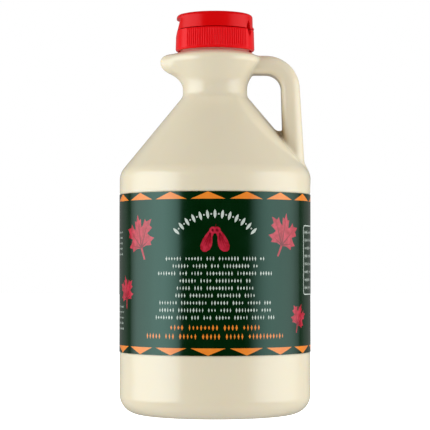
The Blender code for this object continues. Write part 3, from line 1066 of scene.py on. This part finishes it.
# %% Side panels
FRAME_LEFT = 55.2
FRAME_RIGHT = 92.0
FRAME_LOW = 60.6
FRAME_HIGH = 95.6
FRAME_LINE = 0.55
FRAME_ROUND = 2.0
FRAME_ROWS = 8
FRAME_ROW_START = 2.2
FRAME_ROW_SCALE = 0.86
SMALL_ROWS = 5
SMALL_ROW_PITCH = 2.75
SMALL_ROW_SCALE = 0.6
SMALL_GROUPS = ((54.6, -58.6, 1.0), (92.0, -60.5, 0.8))


def rounded_box(left, right, low, high, radius):
    outline = []
    for x, y, start in (
        (right - radius, high - radius, 0.0), (left + radius, high - radius, 0.5),
        (left + radius, low + radius, 1.0), (right - radius, low + radius, 1.5),
    ):
        for i in range(5):
            turn = math.pi * (start + i / 8)
            outline.append((x + radius * math.cos(turn), y + radius * math.sin(turn)))
    return outline


def print_side_panels():
    for ink, inset in (("white", 0.0), ("green", FRAME_LINE)):
        print_shape(ink, rounded_box(
            FRAME_LEFT + inset, FRAME_RIGHT - inset,
            FRAME_LOW + inset, FRAME_HIGH - inset, FRAME_ROUND - inset,
        ))
    row_length = FRAME_RIGHT - FRAME_LEFT - 5.0
    for i in range(FRAME_ROWS):
        up = FRAME_HIGH - (i + 0.9) * (FRAME_HIGH - FRAME_LOW) / (FRAME_ROWS + 0.8)
        print_row("white", row_length, up, FRAME_ROW_SCALE, FRAME_LEFT + FRAME_ROW_START)
    for i in range(SMALL_ROWS):
        longest = draw.uniform(17.0, 24.0)
        for top, right_end, share in SMALL_GROUPS:
            length = longest * share
            up = top - i * SMALL_ROW_PITCH
            print_row("white", length, up, SMALL_ROW_SCALE, right_end - length)


print_side_panels()
print(len(shapes), "shapes in all")

# %% [markdown]
# One call cuts the sheet along every outline at once: a constrained Delaunay triangulation, which
# also says which outlines each triangle lies in. Upright lines every few degrees are added, so
# that the sheet can bend round the jug. Each triangle takes the ink of the last shape it is in.

# %% Cut film
BEND_LINES = 144
LEVEL_LINES = 9
SNAP = 0.0005


def cut_sheet():
    corners = []
    lines = []
    faces = []

    def add_line(first, second):
        corners.extend((Vector(first), Vector(second)))
        lines.append((len(corners) - 2, len(corners) - 1))

    for i in range(BEND_LINES + 1):
        across = -sheet_half + 2 * sheet_half * i / BEND_LINES
        add_line((across, LABEL_BOTTOM), (across, LABEL_TOP))
    for i in range(LEVEL_LINES + 1):
        up = LABEL_BOTTOM + (LABEL_TOP - LABEL_BOTTOM) * i / LEVEL_LINES
        add_line((-sheet_half, up), (sheet_half, up))
    for _, outline in shapes:
        faces.append(range(len(corners), len(corners) + len(outline)))
        corners.extend(Vector(point) for point in outline)
    flat, _, triangles, _, _, inside = delaunay_2d_cdt(
        corners, lines, [list(face) for face in faces], 0, SNAP, True
    )
    inks = [max((shape for shape in found), default=-1) for found in inside]
    return flat, triangles, [0 if shape < 0 else shapes[shape][0] for shape in inks]


flat_points, film_faces, film_inks = cut_sheet()
print(len(film_faces), "triangles in the film")

# %% [markdown]
# Wrapping is one formula: the way across becomes an angle. The two ends meet at the back, where
# the last few millimetres stand a hair's breadth higher, as they do where one end laps over the
# other. Solidify gives the film its thickness. Its normals are then set straight out from the
# axis, because the thin triangles of a cut sheet would otherwise make the reflection uneven.

# %% Wrapped film
LAP_WIDTH = 6.0
LAP_HEIGHT = 0.06
LAP_RISE = 0.4
WELD_REACH = 0.02


def wrap(point):
    """A point of the flat film, in millimetres, put round the jug, in metres."""
    lap = LAP_HEIGHT * float(smooth_step((point.x - sheet_half + LAP_WIDTH) / LAP_RISE + 1.0))
    radius = FILM_RADIUS + lap * (point.x < sheet_half - 0.01)
    angle = point.x / FILM_RADIUS
    return Vector((radius * math.sin(angle), -radius * math.cos(angle), point.y)) * MM


def set_round_normals(mesh):
    """Smooth the faces that lean out or in from the axis, and keep the film's thin edges flat."""
    normals = []
    for polygon in mesh.polygons:
        flat = abs(polygon.normal.z) > 0.7
        for index in polygon.loop_indices:
            spot = mesh.vertices[mesh.loops[index].vertex_index].co
            out = Vector((spot.x, spot.y, 0.0)).normalized()
            way = 1.0 if out.dot(polygon.normal) > 0 else -1.0
            normals.append(polygon.normal.copy() if flat else out * way)
    mesh.normals_split_custom_set(normals)


def make_film_mesh():
    mesh = bpy.data.meshes.new("label_film")
    mesh.from_pydata([wrap(point) for point in flat_points], [], film_faces)
    mesh.polygons.foreach_set("material_index", film_inks)
    sheet = bpy.data.objects.new("sheet", mesh)
    scene.collection.objects.link(sheet)
    weld = sheet.modifiers.new("join the ends", "WELD")
    weld.merge_threshold = WELD_REACH * MM
    thick = sheet.modifiers.new("thickness", "SOLIDIFY")
    thick.thickness = FILM_THICKNESS * MM
    thick.offset = -1.0
    wrapped = finished_mesh(sheet)
    wrapped.shade_smooth()
    set_round_normals(wrapped)
    return wrapped


film_mesh = make_film_mesh()
print(len(film_mesh.polygons), "faces in the wrapped film")

# %% [markdown]
# The inks sit under one clear varnish, so all of them share its gloss and differ in colour only.
# Each ink is mottled a little, as print on film is. The red of the leaves runs from crimson to
# pink over a few millimetres, like a watercolour. The varnish has slow waves, where the film
# follows the wall behind it, and these bend the reflections slightly.

# %% Inks
INK_COLOURS = {
    "green": ((0.0003, 0.0135, 0.0012), (0.0006, 0.0175, 0.0022)),
    "orange": ((0.78, 0.20, 0.015), (0.85, 0.25, 0.02)),
    "white": ((0.50, 0.56, 0.50), (0.60, 0.66, 0.60)),
    "leaf": ((0.32, 0.003, 0.014), (0.58, 0.022, 0.055)),
    "vein": ((0.15, 0.001, 0.008), (0.20, 0.004, 0.014)),
}
MOTTLE = {"leaf": 420.0}
VARNISH_TINT = {"green": (0.61, 1.0, 0.90, 1.0)}


def make_ink(name):
    material, shader, make = shader_material("ink_" + name)
    place = make("ShaderNodeTexCoord").outputs["Object"]
    spots = mottled(make, place, MOTTLE.get(name, 160.0))
    waves = mottled(make, place, 28.0, 1.0)
    fill(shader, {
        "Base Color": varied(make, ranged(make, spots, 0.0, 1.0), *INK_COLOURS[name]),
        "Roughness": ranged(make, spots, 0.13, 0.16),
        "Normal": bumped(make, (waves, 0.0003, 0.25)),
        "IOR": 1.5,
        "Specular IOR Level": 1.0,
        "Specular Tint": VARNISH_TINT.get(name, (1.0, 1.0, 1.0, 1.0)),
    })
    return material


add_piece("label_film", film_mesh, "label", [make_ink(ink) for ink in INKS])

# %% [markdown]
# The cap is moulded in red polypropylene. Both of its pieces are turned shapes with details that
# depend on the angle: ribs for the grip, a hollow under the lid's edge for the thumb, a slit on
# each side of the hinge. So each piece is a grid, rows down its outline and columns round it, and
# one function says how far the wall lies at an angle and a height.

# %% The cap's outline
skirt_low, skirt_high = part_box("cap_base")
lid_low, lid_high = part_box("cap_lid")
CAP_BOTTOM = skirt_low.z / MM
SKIRT_TOP = skirt_high.z / MM
LID_BOTTOM = lid_low.z / MM
CAP_TOP = lid_high.z / MM
SKIRT_RADIUS_LOW = 20.3
SKIRT_RADIUS_HIGH = 20.0
LID_RADIUS_LOW = 19.5
LID_RADIUS_HIGH = 19.3
RIBS_ALL_ROUND = 102
COLUMNS = 12 * RIBS_ALL_ROUND


def sampled_outline(corners, arc_step=12.0, longest=1.0):
    """Points (r, z) along an outline with rounds, from the same corners that a field takes."""
    lines, arcs = field_outline(corners)
    points = []
    for i, (start, end) in enumerate(lines):
        pieces = max(1, math.ceil(np.hypot(*(end - start)) / longest))
        points += [start + (end - start) * k / pieces for k in range(pieces + 1)]
        if i < len(arcs):
            centre, radius, middle, half, outward = arcs[i]
            steps = max(2, math.ceil(math.degrees(2 * half) / arc_step))
            for k in range(1, steps):
                angle = middle + outward * half * (1 - 2 * k / steps)
                points.append(centre + radius * np.array((math.cos(angle), math.sin(angle))))
    kept = [points[0]]
    for point in points[1:]:
        if np.hypot(*(point - kept[-1])) > 0.02:
            kept.append(point)
    return np.array(kept)


print("skirt", CAP_BOTTOM, "to", SKIRT_TOP, "mm, lid", LID_BOTTOM, "to", CAP_TOP, "mm")

# %% [markdown]
# The thumb hollow is a slanted flat cut: the wall can't lie further out than a plane, and a plane
# seen from the axis is its distance divided by the cosine of the angle. Above it the lid's edge
# stands out a little, for the thumb to push. The slits are pointed ovals, pressed deep into the
# wall. Between them a bead stands out where the film hinge folds.

# %% Wall of the cap
RIB_HEIGHT = 0.36
RIB_FULLNESS = 0.8
RIB_LOW = 186.1
RIB_HIGH = 195.85
RIB_FADE = 0.5
RIBS_FROM_HINGE = math.radians(38.0)
RIBS_FROM_THUMB = math.radians(44.0)
THUMB_DEPTH = 17.6
THUMB_TOP = 201.5
THUMB_SLANT = math.tan(math.radians(15.9))
THUMB_LIP = 0.35
THUMB_LIP_HALF = math.radians(38.0)
THUMB_LIP_FADE = math.radians(16.0)
THUMB_EDGE = 0.12
SLIT_ANGLE = math.radians(28.0)
SLIT_MIDDLE = 196.15
SLIT_HALF_HEIGHT = 4.2
SLIT_HALF_WIDTH = math.radians(6.0)
SLIT_FADE = math.radians(1.3)
SLIT_DEPTH = 3.0
BEAD_HALF = math.radians(11.5)
BEAD_FADE = math.radians(1.5)
BEAD_RADIUS = 0.62
BEAD_HEIGHT = 0.6


def rib_relief(angle, z):
    """How far the ribs stand out: rounded ridges that fade at both ends and leave two gaps."""
    from_hinge = np.abs(angle)
    ridge = np.abs(np.cos(angle * RIBS_ALL_ROUND / 2)) ** RIB_FULLNESS
    span = smooth_step((z - RIB_LOW) / RIB_FADE) * smooth_step((RIB_HIGH - z) / RIB_FADE)
    round_cap = (from_hinge > RIBS_FROM_HINGE) & (from_hinge < math.pi - RIBS_FROM_THUMB)
    return RIB_HEIGHT * ridge * span * round_cap


def slit_relief(angle, z):
    """How far the two slits beside the hinge go in."""
    height = np.clip(1.0 - ((z - SLIT_MIDDLE) / SLIT_HALF_HEIGHT) ** 2, 0.0, 1.0)
    off = np.abs(np.abs(angle) - SLIT_ANGLE)
    return SLIT_DEPTH * smooth_step((SLIT_HALF_WIDTH * height - off) / SLIT_FADE)


def wall_radius(angle, r, z):
    """The cap's wall at an angle from the hinge, for an outline point (r, z)."""
    ribbed = r + rib_relief(angle, z) - slit_relief(angle, z)
    bead = np.clip(1.0 - ((z - LID_BOTTOM) / BEAD_RADIUS - 1.0) ** 2, 0.0, 1.0) ** 0.5
    bead = BEAD_HEIGHT * bead * smooth_step((BEAD_HALF - np.abs(angle)) / BEAD_FADE)
    ribbed = ribbed + bead * (z > LID_BOTTOM - 0.05)
    near_thumb = smooth_step((THUMB_LIP_HALF - math.pi + np.abs(angle)) / THUMB_LIP_FADE)
    plane = THUMB_DEPTH + THUMB_SLANT * (THUMB_TOP - z)
    limit = plane / np.maximum(-np.cos(angle), 0.2)
    under_lip = smooth_step((THUMB_TOP - z) / (2 * THUMB_EDGE) + 0.5)
    lipped = ribbed + THUMB_LIP * near_thumb * (1.0 - under_lip)
    return lipped - np.maximum(lipped - limit, 0.0) * under_lip


print("a rib every", round(360 / RIBS_ALL_ROUND, 2), "degrees,", RIB_HEIGHT, "mm high")

# %% [markdown]
# The grid closes on the axis at both ends, so the piece is one closed skin. Only the outer wall
# takes the relief; the top and the hidden underside stay turned.

# %% The cap's two pieces
SKIRT_WALL_FROM = 18.8
LID_WALL_FROM = 18.0
SKIRT_WALL = 1.4
LID_DISH = 0.25
SHARP_FROM = math.radians(50.0)


def grid_mesh(name, outline, relief_from):
    """A closed mesh from an outline whose first and last points lie on the axis."""
    angles = np.linspace(-math.pi, math.pi, COLUMNS, endpoint=False)
    points = [(0.0, 0.0, outline[0][1])]
    for r, z in outline[1:-1]:
        radius = wall_radius(angles, r, z) if r > relief_from else np.full(COLUMNS, r)
        points.extend(zip(radius * np.cos(angles), radius * np.sin(angles), np.full(COLUMNS, z)))
    points.append((0.0, 0.0, outline[-1][1]))
    rows = len(outline) - 2
    faces = []
    for k in range(COLUMNS):
        after = (k + 1) % COLUMNS
        faces.append((0, 1 + k, 1 + after))
        for row in range(rows - 1):
            start = 1 + row * COLUMNS
            faces.append((start + k, start + COLUMNS + k, start + COLUMNS + after, start + after))
        start = 1 + (rows - 1) * COLUMNS
        faces.append((start + k, len(points) - 1, start + after))
    mesh = bpy.data.meshes.new(name)
    mesh.from_pydata([Vector(point) * MM for point in points], [], faces)
    mesh.shade_smooth()
    mesh.set_sharp_from_angle(angle=SHARP_FROM)
    return mesh


skirt_corners = [
    (0.0, SKIRT_TOP), (SKIRT_RADIUS_HIGH, SKIRT_TOP, 0.3), (SKIRT_RADIUS_LOW, CAP_BOTTOM, 1.2),
    (SKIRT_RADIUS_LOW - SKIRT_WALL, CAP_BOTTOM, 0.2),
    (SKIRT_RADIUS_LOW - SKIRT_WALL - 0.3, NECK_TOP + 0.3, 0.4), (0.0, NECK_TOP + 0.3),
]
lid_corners = [
    (0.0, CAP_TOP - LID_DISH), (LID_RADIUS_HIGH - 3.3, CAP_TOP - LID_DISH, 0.3),
    (LID_RADIUS_HIGH - 2.9, CAP_TOP, 0.3), (LID_RADIUS_HIGH, CAP_TOP, 1.5),
    (LID_RADIUS_LOW, LID_BOTTOM, 0.3), (0.0, LID_BOTTOM),
]
skirt_mesh = grid_mesh("cap_skirt", sampled_outline(skirt_corners, longest=0.5), SKIRT_WALL_FROM)
lid_mesh = grid_mesh("cap_top", sampled_outline(lid_corners, longest=0.25), LID_WALL_FROM)
print(len(skirt_mesh.polygons), "faces in the skirt,", len(lid_mesh.polygons), "in the lid")

# %% [markdown]
# Polypropylene takes a deep, clean red, a little glossier than the jug. The mould's polish leaves
# a trace of grain, and the colour is even to within a shade. Light gets into the skirt's thin ribs
# and out again; that light is painted in, as a skirt red brighter than the lid's red. Little light
# comes out of the grooves between the ribs, or out of the seam and the slits, and that shade is
# painted too: an Ambient Occlusion node with a reach of a millimetre finds those places, and a
# darker red is mixed in there.

# %% Red plastic
LID_REDS = ((0.69, 0.0004, 0.0008), (0.65, 0.0003, 0.0006))
# Painted light: the skirt's red is a brighter copy of the lid's, for light through its thin ribs.
LIT_SKIRT_REDS = ((0.79, 0.0010, 0.0040), (0.75, 0.0008, 0.0036))
PAINTED_GROOVE_SHADE = (0.42, 0.0002, 0.0012)
GROOVE_REACH = 1.0


def make_red_plastic(name, reds):
    material, shader, make = shader_material(name)
    place = make("ShaderNodeTexCoord").outputs["Object"]
    waves = mottled(make, place, 120.0)
    grain = mottled(make, place, 3200.0, 2.0)
    # Painted shade: a darker red is mixed into the grooves, the seam and the slits.
    openness = make("ShaderNodeAmbientOcclusion", {"Distance": GROOVE_REACH * MM}, samples=8)
    groove_shade = ranged(make, openness.outputs["AO"], 1.0, 0.0, 0.25, 0.62)
    fill(shader, {
        "Base Color": varied(make, groove_shade, varied(make, waves, *reds), PAINTED_GROOVE_SHADE),
        "Roughness": ranged(make, waves, 0.20, 0.24),
        "Normal": bumped(make, (waves, 0.0002, 0.2), (grain, 0.00002, 0.4)),
        "Subsurface Weight": 0.1,
        "Subsurface Radius": (1.0, 0.1, 0.1),
        "Subsurface Scale": 0.001,
        "IOR": 1.49,
        "Specular IOR Level": 0.7,
        "Specular Tint": (1.0, 0.24, 0.26, 1.0),
    })
    return material


lit_skirt_red = make_red_plastic("lit_skirt_red", LIT_SKIRT_REDS)
lid_red = make_red_plastic("lid_red", LID_REDS)
add_piece("cap_skirt", skirt_mesh, "cap_base", [lit_skirt_red])
add_piece("cap_top", lid_mesh, "cap_lid", [lid_red])
